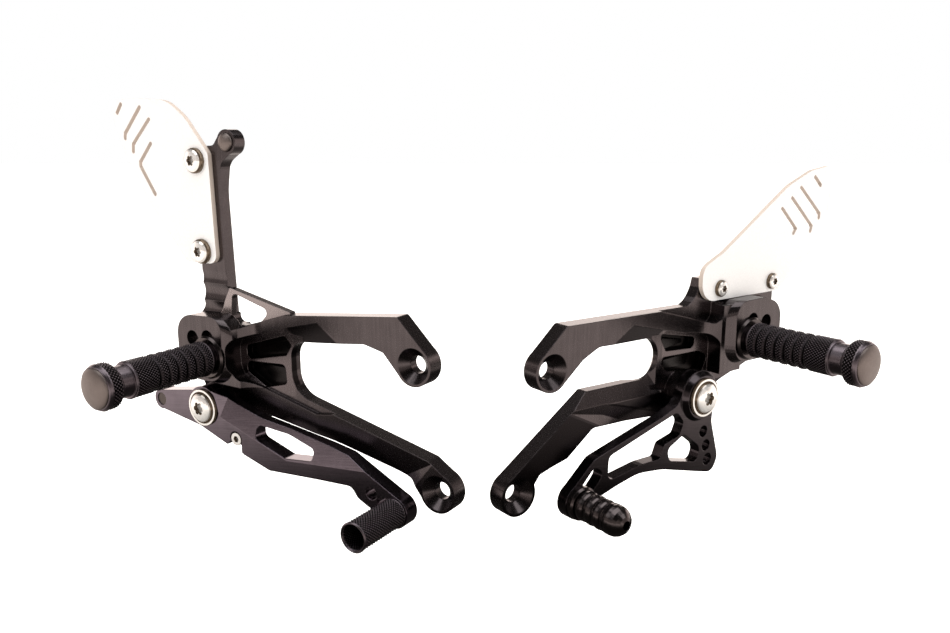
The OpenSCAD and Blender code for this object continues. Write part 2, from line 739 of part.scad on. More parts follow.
module brake_lever() {
    ridge = reach([[14, -4], [68, -21.5], [126, -16]], brake_toe, brake_drawn);
    toe_holes = [brake_toe + [-15, 8], brake_toe + [-7.3, 4]];
    color(black) brake_side() translate([brake_pivot.x, 0, brake_pivot.y]) difference() {
        union() {
            slab(brake_lever_w, lever_face) polygon(rounded(brake_lever_outline));
            post([0, 0], 26.4, brake_lever_w, lever_face);
            post(brake_tail, 13, brake_lever_w, lever_face);
            post(brake_toe, 2 * brake_toe_r, brake_lever_w, lever_face);
        }
        intersection() {
            above_slope(ridge[0], ridge[1], lever_face, facet_slope);
            above_slope(ridge[1], ridge[2], lever_face, facet_slope);
            above_slope([9, 12], ridge[0], lever_face, facet_slope * 1.6);
        }
        slab(brake_lever_w - over, lever_face + over)
            polygon(rounded(reach([
                [43, -4, 4], [67, -6.2, 6], [88.6, -11.2, 3], [87.6, -18, 2.5], [66.5, -20.4, 3], [43, -13, 4]
            ], brake_toe, brake_drawn)));
        slab(stop_seat, lever_face + over) {
            translate(stop_at) circle(r = stop_d / 2 + 0.9);
            polygon([stop_at + [-4, -1], stop_at + [-12, -9], stop_at + [4.4, -14], stop_at + [4.4, -1]]);
        }
        post(stop_at, 5 + 2 * fit, brake_lever_w - over, lever_face);
        post([0, 0], bush_d + 2 * fit, brake_lever_w - over, lever_face + over);
        post(brake_tail, clevis_d + 2 * fit, brake_lever_w - over, lever_face + over);
        post(brake_toe, toe_bolt_d + 2 * fit, brake_lever_w - over, lever_face + over);
        for (h = toe_holes) post(h, 7.6, brake_lever_w - over, lever_face + over);
    }
}

module brake_clevis_pin() {
    shank_l = brake_lever_t - 0.5;
    color(grey) brake_side() turned(brake_pivot + brake_tail, brake_lever_w, [
        [0, -pin_out], [journal_d / 2, -pin_out], [journal_d / 2, -clip_w], [journal_d / 2 - 0.5, -clip_w],
        [journal_d / 2 - 0.5, 0], [clevis_d / 2, 0], [clevis_d / 2, shank_l], [0, shank_l]
    ]);
}

module brake_stop_screw() {
    p = brake_pivot + stop_at;
    color(steel) brake_side() difference() {
        union() {
            post(p, stop_d, stop_seat, lever_face);
            post(p, 5, brake_lever_w, stop_seat + over);
        }
        translate([p.x, -lever_face + 2.4, p.y]) rotate([90, 0, 0]) cylinder(h = 4, d = 4.4, $fn = 6);
    }
}

module brake_toe_tube() {
    p = brake_pivot + brake_toe;
    floor_t = 3;
    color(black) brake_side() difference() {
        post(p, toe_tube_d, lever_face, lever_face + toe_tube_l);
        post(p, toe_tube_bore, lever_face + floor_t, lever_face + toe_tube_l + over);
        post(p, toe_bolt_d + 2 * fit, lever_face - over, lever_face + floor_t + over);
    }
}

module brake_toe_bolt() {
    p = brake_pivot + brake_toe;
    seat = lever_face + 3;
    color(steel) brake_side() difference() {
        union() {
            post(p, 10, seat, seat + 4);
            post(p, toe_bolt_d, brake_lever_w, seat + over);
        }
        translate([p.x, -seat - 1.5, p.y]) rotate([90, 0, 0]) cylinder(h = 4, d = 5.8, $fn = 6);
    }
}

// Gear lever, drawn from its pivot

shift_lever_outline = [
    [6, 12, 0], each reach([[20, -3.2, 6], [32, -7.4, 0], [85, -21, 8]], shift_toe, shift_drawn),
    at(into(shift_toe, shift_toe_r, 42)), at(into(shift_toe, shift_toe_r, 240)),
    each reach([[79, -43.5, 0], [67, -40.4, 20], [50, -37.2, 30], [30, -39.6, 30]], shift_toe, shift_drawn),
    [-5, -49.4, 0], [-15.5, -52, 6], [-20.4, -43, 8], [-12.4, -18, 14], [-14, -6, 0]
];

module shift_lever() {
    hub_r = 15.8;
    hub_top = lever_face + hub_rise;
    color(black) shift_side() translate([shift_pivot.x, 0, shift_pivot.y]) difference() {
        union() {
            slab(shift_lever_w, lever_face) {
                polygon(rounded(shift_lever_outline));
                circle(r = hub_r);
                translate(shift_toe) circle(r = shift_toe_r);
            }
            taper([0, 0], 2 * hub_r - 1, 2 * hub_r - 5, lever_face, hub_top);
        }
        slab(shift_lever_w - over, lever_face + over) {
            for (window = [
                [[74, -21.6, 4], [19, -6.6, 4.5], [12.6, -14, 4], [16, -21.6, 3], [29, -24.6, 3],
                    [32.4, -32.6, 2], [48, -32.4, 20], [74.6, -36.2, 4]],
                [[12, -21.6, 2.5], [-3.4, -33, 6], [-0.6, -42, 4], [24, -35.8, 4], [26.2, -28.2, 4]],
                [[94, -34.4, 1], [85, -25.4, 3.2], [77.4, -30, 3.2], [82, -35.4, 1.6], [86, -39.4, 1]]
            ]) polygon(rounded(reach(window, shift_toe, shift_drawn)));
        }
        post([0, 0], bush_d + 2 * fit, shift_lever_w - over, hub_top + over);
        post(shift_toe, toe_bolt_d + 2 * fit, shift_lever_w - over, lever_face + over);
        for (h = rod_holes) post(h, h[2], shift_lever_w - over, lever_face + over);
    }
}

module shift_toe_peg() {
    p = shift_pivot + shift_toe;
    ribs = 4;
    rib_l = 6.2;
    r = toe_peg_d / 2;
    foot = 4;
    ball_w = toe_peg_l - r;
    color(black) shift_side() difference() {
        turned(p, lever_face, [
            [0, 0], [r + 1, 0], [r + 1, foot - 1], [r, foot],
            for (i = [0:ribs - 1]) for (a = [0:30:180])
                let (h = foot + rib_l * (i + 0.5) - rib_l / 2 * cos(a))
                if (h < ball_w - 1) [r - 1.5 + 1.5 * sin(a), h],
            for (a = [-30:15:75]) [r * cos(a), ball_w + r * sin(a)],
            [0, toe_peg_l]
        ]);
        post(p, toe_bolt_d + 2 * fit, lever_face - over, lever_face + 18);
        post(p, 5, lever_face + 18, lever_face + toe_peg_l + over);
    }
}

module shift_toe_bolt() {
    p = shift_pivot + shift_toe;
    color(steel) shift_side() difference() {
        union() {
            post(p, 11, shift_lever_w - 3.4, shift_lever_w);
            post(p, toe_bolt_d, shift_lever_w - over, lever_face + 16);
        }
        translate([p.x, -shift_lever_w + 3.4 + over, p.y]) rotate([90, 0, 0])
            cylinder(h = 2.4 + over, d = 4.6, $fn = 6);
    }
}

brake_bracket();
brake_arm_plug();
brake_heel_guard();
brake_guard_screw(0);  // brake_guard_screw_upper
brake_guard_screw(1);  // brake_guard_screw_lower
brake_side() peg_collar(brake_peg);  // brake_peg_collar
brake_side() peg_grip(brake_peg);  // brake_peg_grip
brake_side() peg_end_cap(brake_peg);  // brake_peg_end_cap
brake_side() peg_bolt(brake_peg);  // brake_peg_bolt
brake_lever();
brake_side() lever_bush(brake_pivot, brake_lever_w, lever_face);  // brake_lever_bush
brake_side() pivot_washer(brake_pivot, brake_lever_w);  // brake_pivot_washer
brake_side() pivot_bolt(brake_pivot, lever_face);  // brake_pivot_bolt
brake_side() pivot_nut(brake_pivot);  // brake_pivot_nut
brake_clevis_pin();
brake_stop_screw();
brake_toe_tube();
brake_toe_bolt();
shift_bracket();
shift_heel_guard();
shift_guard_screw(0);  // shift_guard_screw_front
shift_guard_screw(1);  // shift_guard_screw_rear
shift_side() peg_collar(shift_peg);  // shift_peg_collar
shift_side() peg_grip(shift_peg);  // shift_peg_grip
shift_side() peg_end_cap(shift_peg);  // shift_peg_end_cap
shift_side() peg_bolt(shift_peg);  // shift_peg_bolt
shift_lever();
shift_side() lever_bush(shift_pivot, shift_lever_w, lever_face + hub_rise);  // shift_lever_bush
shift_side() pivot_washer(shift_pivot, shift_lever_w);  // shift_pivot_washer
shift_side() pivot_bolt(shift_pivot, lever_face + hub_rise);  // shift_pivot_bolt
shift_side() pivot_nut(shift_pivot);  // shift_pivot_nut
shift_toe_peg();
shift_toe_bolt();
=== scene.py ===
"""Looks of a pair of motorcycle rear foot controls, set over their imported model.

The model gives every rigid piece. This file gives them their finishes, replaces the plain grips and
the plain toe tube with knurled ones, and sets the studio, the lamps and the camera. Sizes are in
millimetres on each side's own plate (u forward, w outward, z up), and metres in the shared frame.
"""

import json
import logging
import math
from dataclasses import dataclass, field
from enum import Enum
from typing import Any

import bmesh
import bpy
import numpy as np
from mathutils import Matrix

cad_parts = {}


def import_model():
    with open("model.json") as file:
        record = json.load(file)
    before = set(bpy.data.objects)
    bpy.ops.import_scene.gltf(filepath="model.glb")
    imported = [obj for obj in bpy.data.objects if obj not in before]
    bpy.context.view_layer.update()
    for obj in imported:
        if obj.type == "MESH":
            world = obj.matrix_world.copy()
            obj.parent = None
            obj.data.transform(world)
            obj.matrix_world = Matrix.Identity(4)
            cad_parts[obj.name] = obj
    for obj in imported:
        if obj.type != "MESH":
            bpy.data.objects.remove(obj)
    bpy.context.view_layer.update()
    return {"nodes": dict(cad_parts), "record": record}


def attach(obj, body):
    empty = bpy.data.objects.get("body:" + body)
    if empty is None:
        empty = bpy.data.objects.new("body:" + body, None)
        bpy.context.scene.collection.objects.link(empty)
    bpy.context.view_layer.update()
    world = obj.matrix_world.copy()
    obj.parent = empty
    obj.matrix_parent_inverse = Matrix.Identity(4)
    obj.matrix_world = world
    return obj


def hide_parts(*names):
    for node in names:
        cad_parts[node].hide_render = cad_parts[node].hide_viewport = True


LOG = logging.getLogger("rear_sets")

Point = tuple[float, float]
Span = tuple[float, float]
Line = tuple[Point, Point]
Vector = tuple[float, float, float]
Key = str | int

UP: Vector = (0.0, 0.0, 1.0)
MM_PER_M = 1000.0

# Sockets of a Mix node, which has one set for numbers and another for colours.
MIX_SHARE = 0
NUMBER_A = 2
NUMBER_B = 3
COLOUR_A = 6
COLOUR_B = 7
COLOUR_OUT = 2

# Most values of a noise lie between these two.
NOISE_SPAN: Span = (0.3, 0.7)

# Rays that each point of a rounded edge is worked out from.
EDGE_SAMPLES = 6

# Attribute of a knurled piece that holds its painted shade: 1 on the knurl's tops, darker in its valleys
# and grooves.
SHADE_ATTRIBUTE = "crest"

# Radius of the first and last row of a turned piece, in mm.
POLE_R = 0.02

# Points nearer than the first are merged, and edges shorter than the second are dropped, in metres.
MERGE_M = 1e-7
THIN_M = 1e-9


def linear(hex_colour: str) -> tuple[float, float, float, float]:
    """Turns an sRGB hex colour into a linear one.

    A value up to 0.04045 is divided by 12.92. A higher one gets 0.055 more, is divided by 1.055 and
    raised to the power 2.4.

    Args:
        hex_colour: Colour such as "#4b443f".

    Returns:
        Linear red, green and blue, and an alpha of 1.
    """
    raw = np.array([int(hex_colour[i : i + 2], 16) / 255 for i in (1, 3, 5)])
    out = np.where(raw <= 0.04045, raw / 12.92, ((raw + 0.055) / 1.055) ** 2.4)
    return (float(out[0]), float(out[1]), float(out[2]), 1.0)


def lighter(hex_colour: str, factor: float) -> str:
    """Scales an sRGB hex colour by a factor."""
    parts = [min(255, round(int(hex_colour[i : i + 2], 16) * factor)) for i in (1, 3, 5)]
    return "#" + "".join(f"{p:02x}" for p in parts)


def add_node(
    tree: bpy.types.NodeTree,
    kind: str,
    values: dict[Key, Any] | None = None,
    links: dict[Key, bpy.types.NodeSocket] | None = None,
    **settings: Any,
) -> bpy.types.Node:
    """Adds one node with its settings, socket values and links.

    Args:
        tree: Node tree that takes the node.
        kind: Node type, such as "ShaderNodeMath".
        values: Socket name or number to its plain value.
        links: Socket name or number to the socket that feeds it.
        **settings: Node attributes, such as operation.

    Returns:
        The new node.
    """
    node = tree.nodes.new(kind)
    for name, value in settings.items():
        setattr(node, name, value)
    for key, value in (values or {}).items():
        node.inputs[key].default_value = value
    for key, socket in (links or {}).items():
        tree.links.new(socket, node.inputs[key])
    return node


def new_material(name: str) -> tuple[bpy.types.Material, bpy.types.NodeTree]:
    """Makes a material without nodes.

    Args:
        name: Name of the material.

    Returns:
        The material and its empty node tree.
    """
    mat = bpy.data.materials.new(name)
    mat.use_nodes = True
    mat.node_tree.nodes.clear()
    return mat, mat.node_tree


class Side(Enum):
    """The two sides of the pair, named as in the model."""

    BRAKE = "brake"
    SHIFT = "shift"


class Lay(Enum):
    """Which way the cutter's lines run on a milled face."""

    ACROSS = "across the plate"
    ALONG = "along the plate"
    NONE = "no lines"


class Kind(Enum):
    """What a piece is made of and how it was finished."""

    MILLED = "anodised and milled"
    LEVER = "anodised and milled along the lever"
    TURNED = "anodised and turned"
    KNURLED = "anodised and knurled"
    CAP = "grey anodised"
    GUARD = "satin plate"
    STEEL = "polished steel"
    BRONZE = "bronze"
    PIN = "blackened steel"


@dataclass(frozen=True)
class Ramp:
    """A straight rise or fall between two readings, flat before the first and after the last."""

    start: float
    end: float
    low: float = 0.0
    high: float = 1.0

    @property
    def sockets(self) -> dict[str, float]:
        """The ramp as the values of a Map Range node."""
        return {"From Min": self.start, "From Max": self.end, "To Min": self.low, "To Max": self.high}


@dataclass(frozen=True)
class Plate:
    """One side's plate: how its own coordinates lie in the shared frame.

    The plate stands upright, turned by the yaw in degrees. The sign is 1 where forward points to the
    right of the shared frame, and -1 where it points to the left.
    """

    yaw: float
    sign: int
    origin: Vector

    @property
    def along(self) -> np.ndarray:
        """Unit vector of u in the shared frame."""
        a = math.radians(self.yaw)
        return np.array([self.sign * math.cos(a), -math.sin(a), 0.0])

    @property
    def outward(self) -> np.ndarray:
        """Unit vector of w in the shared frame."""
        a = math.radians(self.yaw)
        return np.array([-self.sign * math.sin(a), -math.cos(a), 0.0])

    def place(self, u: np.ndarray, w: np.ndarray, z: np.ndarray) -> np.ndarray:
        """Carries plate coordinates into the shared frame.

        The point is the plate's origin, plus u times its along vector, w times its outward vector
        and z times up.

        Args:
            u: Forward distances in mm.
            w: Outward distances in mm.
            z: Heights in mm.

        Returns:
            Array of points in metres, with the last axis x, y, z.
        """
        u, w, z = (np.asarray(v, float)[..., None] for v in (u, w, z))
        offset = u * self.along + w * self.outward + z * np.array(UP)
        return np.array(self.origin) + offset / MM_PER_M


def plate_coords(tree: bpy.types.NodeTree, plate: Plate | None) -> bpy.types.NodeSocket:
    """Turns object coordinates into millimetres on a plate: x along it, y outward, z up.

    Each plate coordinate is the dot product of the point, less the plate's origin, with its axis.

    Args:
        tree: Node tree that takes the nodes.
        plate: The plate, or None for the shared frame in millimetres.

    Returns:
        Socket with the plate coordinates.
    """
    coords = add_node(tree, "ShaderNodeTexCoord").outputs["Object"]
    if plate is None:
        scale = (MM_PER_M, MM_PER_M, MM_PER_M)
        return add_node(
            tree, "ShaderNodeVectorMath", {1: scale}, {0: coords}, operation="MULTIPLY"
        ).outputs[0]
    moved = add_node(
        tree, "ShaderNodeVectorMath", {1: plate.origin}, {0: coords}, operation="SUBTRACT"
    ).outputs[0]
    parts = []
    for axis in (plate.along, plate.outward, np.array(UP)):
        scaled = tuple(axis * MM_PER_M)
        dot = add_node(tree, "ShaderNodeVectorMath", {1: scaled}, {0: moved}, operation="DOT_PRODUCT")
        parts.append(dot.outputs["Value"])
    return add_node(tree, "ShaderNodeCombineXYZ", links=dict(enumerate(parts))).outputs[0]


def milling(
    tree: bpy.types.NodeTree,
    local: bpy.types.NodeSocket,
    lay: Lay,
    line_mm: float,
    stretch: float = 40.0,
    through: float = 0.2,
    plain: float = 1.2,
) -> bpy.types.NodeSocket:
    """Height of a milled face: noise stretched along the cutter's path.

    The path is first turned in the plate by the lay's own angle, which is in radians.

    Args:
        tree: Node tree that takes the nodes.
        local: Plate coordinates in millimetres.
        lay: Way the lines run.
        line_mm: Width of one cutter line.
        stretch: How many times as long as wide a line is.
        through: Changes of the noise in each mm through the plate.
        plain: Changes of the noise in each mm where there are no lines.

    Returns:
        Socket with the height from 0 to 1.
    """
    fine = 1 / line_mm
    scale = {
        Lay.ACROSS: (fine, through, fine / stretch),
        Lay.ALONG: (fine / stretch, through, fine),
        Lay.NONE: (plain, plain, plain),
    }[lay]
    turn = {Lay.ACROSS: 0.02, Lay.ALONG: 0.16, Lay.NONE: 0.0}[lay]
    turned = add_node(
        tree, "ShaderNodeMapping", {"Rotation": (0.0, turn, 0.0)}, {"Vector": local}
    ).outputs[0]
    stretched = add_node(tree, "ShaderNodeMapping", {"Scale": scale}, {"Vector": turned}).outputs[0]
    noise = add_node(
        tree, "ShaderNodeTexNoise", {"Scale": 1.0, "Detail": 2.0, "Roughness": 0.6}, {"Vector": stretched}
    )
    return noise.outputs["Fac"]


def facing(
    tree: bpy.types.NodeTree, plate: Plate, cosines: Ramp = Ramp(0.75, 0.92)
) -> bpy.types.NodeSocket:
    """Share of a face that lies flat on the plate: 1 where its normal is the plate's own, 0 on its sides.

    The share rises with the cosine of the angle between the two normals, whichever way they point.

    Args:
        tree: Node tree that takes the nodes.
        plate: The plate.
        cosines: Cosines between which the share rises.

    Returns:
        Socket with the share.
    """
    normal = add_node(tree, "ShaderNodeNewGeometry").outputs["True Normal"]
    outward = tuple(plate.outward)
    dot = add_node(tree, "ShaderNodeVectorMath", {1: outward}, {0: normal}, operation="DOT_PRODUCT")
    flat = add_node(tree, "ShaderNodeMath", links={0: dot.outputs["Value"]}, operation="ABSOLUTE")
    return add_node(tree, "ShaderNodeMapRange", cosines.sockets, {0: flat.outputs[0]}).outputs[0]


def metal_surface(
    tree: bpy.types.NodeTree,
    sockets: dict[str, bpy.types.NodeSocket],
    height: bpy.types.NodeSocket,
    depth_mm: float,
    edge_mm: float,
    metallic: float,
) -> None:
    """Lays metal over the edges, which it rounds, and over a fine relief.

    Args:
        tree: Node tree that takes the nodes.
        sockets: Sockets that feed the shader's own, such as "Base Color", by name.
        height: Relief from 0 to 1.
        depth_mm: Depth of the relief.
        edge_mm: Radius of the rounded edges.
        metallic: How metallic the surface is, from 0 to 1.
    """
    edge = add_node(tree, "ShaderNodeBevel", {"Radius": edge_mm / MM_PER_M}, samples=EDGE_SAMPLES)
    bump = add_node(
        tree,
        "ShaderNodeBump",
        {"Strength": 1.0, "Distance": depth_mm / MM_PER_M},
        {"Height": height, "Normal": edge.outputs[0]},
    )
    shader = add_node(
        tree,
        "ShaderNodeBsdfPrincipled",
        {"Metallic": metallic},
        {**sockets, "Normal": bump.outputs[0]},
    )
    add_node(tree, "ShaderNodeOutputMaterial", links={"Surface": shader.outputs[0]})


def before(u: float) -> Line:
    """Upright line with every smaller u on its left."""
    return ((u, 0.0), (u, 1.0))


def beyond(u: float) -> Line:
    """Upright line with every greater u on its left."""
    return ((u, 1.0), (u, 0.0))


def above(z: float) -> Line:
    """Level line with every greater z on its left."""
    return ((0.0, z), (1.0, z))


def below(z: float) -> Line:
    """Level line with every smaller z on its left."""
    return ((1.0, z), (0.0, z))


@dataclass(frozen=True)
class PaintedPatch:
    """Painted light and shade on part of a milled plate: a colour left of every line and between two
    levels.

    The lines are pairs of (u, z) points, and the levels are the lowest and highest w.
    """

    lines: tuple[Line, ...]
    levels: Span
    colour: str

    def mask(self, tree: bpy.types.NodeTree, local: bpy.types.NodeSocket) -> bpy.types.NodeSocket:
        """Tells the patch from the rest of the plate.

        Left of a line from a to b means that the cross product of b - a with p - a is above zero.

        Args:
            tree: Node tree that takes the nodes.
            local: Plate coordinates in millimetres.

        Returns:
            Socket that is 1 inside and 0 outside.
        """
        tests: list[tuple[bpy.types.NodeSocket, float, str]] = []
        for (au, az), (bu, bz) in self.lines:
            length = math.hypot(bu - au, bz - az)
            nu, nz = -(bz - az) / length, (bu - au) / length
            dot = add_node(
                tree, "ShaderNodeVectorMath", {1: (nu, 0.0, nz)}, {0: local}, operation="DOT_PRODUCT"
            )
            tests.append((dot.outputs["Value"], au * nu + az * nz, "GREATER_THAN"))
        w = add_node(tree, "ShaderNodeSeparateXYZ", links={0: local}).outputs["Y"]
        tests.append((w, self.levels[0], "GREATER_THAN"))
        tests.append((w, self.levels[1], "LESS_THAN"))
        masks = [
            add_node(tree, "ShaderNodeMath", {1: limit}, {0: reading}, operation=test).outputs[0]
            for reading, limit, test in tests
        ]
        total = masks[0]
        for mask in masks[1:]:
            both = {0: total, 1: mask}
            total = add_node(tree, "ShaderNodeMath", links=both, operation="MULTIPLY").outputs[0]
        return total


@dataclass(frozen=True)
class Anodised:
    """Black anodised aluminium: a thin dyed oxide over metal, so dark, slightly warm and satin.

    The eye sees a charcoal body, a soft sheen that turns bright at a grazing angle, and the fine
    lines that the milling cutter left under the oxide. A real cutter leaves lines of about 0.2 mm,
    too fine to show, so they are drawn as wide as line_mm. The dye is uneven over about 9 mm, and the
    oxide's grit is drawn at about 0.5 mm, also coarser than it is.
    """

    name: str
    colour: str = "#403b3c"
    line_colour: str = "#575152"
    roughness: float = 0.23
    smoother: float = 0.05
    rougher: float = 0.07
    lay: Lay = Lay.ACROSS
    line_mm: float = 0.9
    line_crests: Ramp = Ramp(0.4, 0.75)
    depth_mm: float = 0.035
    edge_mm: float = 0.6
    blotches_per_mm: float = 0.11
    blotch_lift: float = 1.35
    grit_per_mm: float = 2.2
    # Painted shade: the knurl's valleys and grooves are painted darker, read from the crest attribute.
    paints_valley_shade: bool = False
    valley_shade_colour: str = "#080707"
    valley_shade_ramp: Ramp = Ramp(0.25, 0.9, 1.0, 0.0)
    # Painted light and shade: some patches are painted lighter, others darker.
    painted_patches: tuple[PaintedPatch, ...] = ()

    def build(self, plate: Plate) -> bpy.types.Material:
        """Builds the material.

        Args:
            plate: Plate whose direction the cutter's lines follow.

        Returns:
            The finished material.
        """
        mat, tree = new_material(self.name)
        local = plate_coords(tree, plate)
        height = self.relief(tree, local, plate)
        grit = add_node(
            tree,
            "ShaderNodeTexNoise",
            {"Scale": self.grit_per_mm, "Detail": 4.0, "Roughness": 0.7},
            {"Vector": local},
        ).outputs["Fac"]
        satin = Ramp(*NOISE_SPAN, self.roughness - self.smoother, self.roughness + self.rougher)
        soft = add_node(tree, "ShaderNodeMapRange", satin.sockets, {0: grit}).outputs[0]
        surface = {"Base Color": self.shade(tree, local, height), "Roughness": soft}
        metal_surface(tree, surface, height, self.depth_mm, self.edge_mm, metallic=1.0)
        return mat

    def relief(
        self, tree: bpy.types.NodeTree, local: bpy.types.NodeSocket, plate: Plate
    ) -> bpy.types.NodeSocket:
        """Height of the cutter's lines, which fades to a half on faces that aren't flat on the plate.

        Args:
            tree: Node tree that takes the nodes.
            local: Plate coordinates in millimetres.
            plate: The plate.

        Returns:
            Socket with the height from 0 to 1.
        """
        lines = milling(tree, local, self.lay, self.line_mm)
        flat = facing(tree, plate)
        return add_node(
            tree, "ShaderNodeMix", {NUMBER_A: 0.5}, {MIX_SHARE: flat, NUMBER_B: lines}
        ).outputs[0]

    def shade(
        self, tree: bpy.types.NodeTree, local: bpy.types.NodeSocket, height: bpy.types.NodeSocket
    ) -> bpy.types.NodeSocket:
        """Colour of the oxide with its blotches and the lines' crests, then painted shade in the knurl's
        valleys and painted light and shade on the patches.

        Each layer is mixed over the ones before it by its own share.

        Args:
            tree: Node tree that takes the nodes.
            local: Plate coordinates in millimetres.
            height: Height of the cutter's lines from 0 to 1.

        Returns:
            Socket with the colour.
        """
        blotch = add_node(
            tree,
            "ShaderNodeTexNoise",
            {"Scale": self.blotches_per_mm, "Detail": 3.0, "Roughness": 0.6},
            {"Vector": local},
        ).outputs["Fac"]
        shade = add_node(
            tree,
            "ShaderNodeMix",
            {COLOUR_A: linear(self.colour), COLOUR_B: linear(lighter(self.colour, self.blotch_lift))},
            {MIX_SHARE: blotch},
            data_type="RGBA",
        ).outputs[COLOUR_OUT]
        crest = add_node(tree, "ShaderNodeMapRange", self.line_crests.sockets, {0: height}).outputs[0]
        layers = [(crest, self.line_colour)]
        # Painted shade in the knurl's valleys, then the painted light and shade of the patches.
        if self.paints_valley_shade:
            light = add_node(tree, "ShaderNodeAttribute", attribute_name=SHADE_ATTRIBUTE).outputs["Fac"]
            valley_shade = add_node(tree, "ShaderNodeMapRange", self.valley_shade_ramp.sockets, {0: light}).outputs[0]
            layers.append((valley_shade, self.valley_shade_colour))
        layers += [(painted_patch.mask(tree, local), painted_patch.colour) for painted_patch in self.painted_patches]
        for share, colour in layers:
            shade = add_node(
                tree,
                "ShaderNodeMix",
                {COLOUR_B: linear(colour)},
                {MIX_SHARE: share, COLOUR_A: shade},
                data_type="RGBA",
            ).outputs[COLOUR_OUT]
        return shade


@dataclass(frozen=True)
class Bare:
    """Bare metal: satin plate, polished steel or bearing bronze.

    The eye sees the room in it: sharp on polished steel, drawn out on a satin plate. Where
    painted_side_colour is given, it is painted shade on the faces that don't lie flat on the plate: a
    guard's cut edges and slots, or the sides and sockets of the screws, painted in the dark tone of their
    shade and reflections. The real grain is finer than the render can show, so it is drawn as wide as
    grain_mm.
    """

    name: str
    colour: str
    roughness: float
    metallic: float = 1.0
    smoother: float = 0.85
    rougher: float = 1.2
    darker: float = 0.9
    grain_mm: float = 0.6
    depth_mm: float = 0.004
    edge_mm: float = 0.25
    # Painted shade on the faces that don't lie flat on the plate.
    painted_side_colour: str = ""

    def build(self, plate: Plate | None = None) -> bpy.types.Material:
        """Builds the material.

        Args:
            plate: Plate whose direction the grain follows, or None for a piece that needs none.

        Returns:
            The finished material.
        """
        mat, tree = new_material(self.name)
        local = plate_coords(tree, plate)
        grain = add_node(
            tree,
            "ShaderNodeTexNoise",
            {"Scale": 1 / self.grain_mm, "Detail": 3.0, "Roughness": 0.55},
            {"Vector": local},
        ).outputs["Fac"]
        satin = Ramp(*NOISE_SPAN, self.roughness * self.smoother, self.roughness * self.rougher)
        soft = add_node(tree, "ShaderNodeMapRange", satin.sockets, {0: grain}).outputs[0]
        tint = add_node(
            tree,
            "ShaderNodeMix",
            {COLOUR_A: linear(self.colour), COLOUR_B: linear(lighter(self.colour, self.darker))},
            {MIX_SHARE: grain},
            data_type="RGBA",
        ).outputs[COLOUR_OUT]
        # Painted shade: the sides, slots and sockets take the darker colour.
        if plate is not None and self.painted_side_colour:
            tint = add_node(
                tree,
                "ShaderNodeMix",
                {COLOUR_A: linear(self.painted_side_colour)},
                {MIX_SHARE: facing(tree, plate), COLOUR_B: tint},
                data_type="RGBA",
            ).outputs[COLOUR_OUT]
        surface = {"Base Color": tint, "Roughness": soft}
        metal_surface(tree, surface, grain, self.depth_mm, self.edge_mm, self.metallic)
        return mat


def make_mesh(name: str, points: np.ndarray) -> bpy.types.Object:
    """Turns a grid of points into a smooth object.

    Each face joins a point, the next one in its row, and the two at the same places in the next row.
    The last column joins the first.

    Args:
        name: Name of the piece.
        points: Grid with the shape rows, columns, 3, in metres.

    Returns:
        The new object.
    """
    rows, cols = points.shape[:2]
    i, j = np.meshgrid(np.arange(rows - 1), np.arange(cols), indexing="ij")
    nxt = (j + 1) % cols
    corners = [i * cols + j, i * cols + nxt, (i + 1) * cols + nxt, (i + 1) * cols + j]
    quads = np.stack(corners, -1).reshape(-1, 4)
    mesh = bpy.data.meshes.new(name)
    mesh.from_pydata(points.reshape(-1, 3).tolist(), [], quads.tolist())
    mesh.update()
    piece = bpy.data.objects.new(name, mesh)
    bpy.context.scene.collection.objects.link(piece)
    mesh.shade_smooth()
    return piece


def weld_and_orient(piece: bpy.types.Object) -> None:
    """Merges points that lie on one another and turns every face outwards.

    Args:
        piece: Piece whose mesh is mended.
    """
    work = bmesh.new()
    work.from_mesh(piece.data)
    bmesh.ops.remove_doubles(work, verts=work.verts, dist=MERGE_M)
    bmesh.ops.dissolve_degenerate(work, edges=work.edges, dist=THIN_M)
    bmesh.ops.recalc_face_normals(work, faces=work.faces)
    work.to_mesh(piece.data)
    work.free()


def triangle(x: np.ndarray) -> np.ndarray:
    """Triangle wave: 0 on whole numbers, 1 halfway between them."""
    return np.abs(2 * (x - np.round(x)))


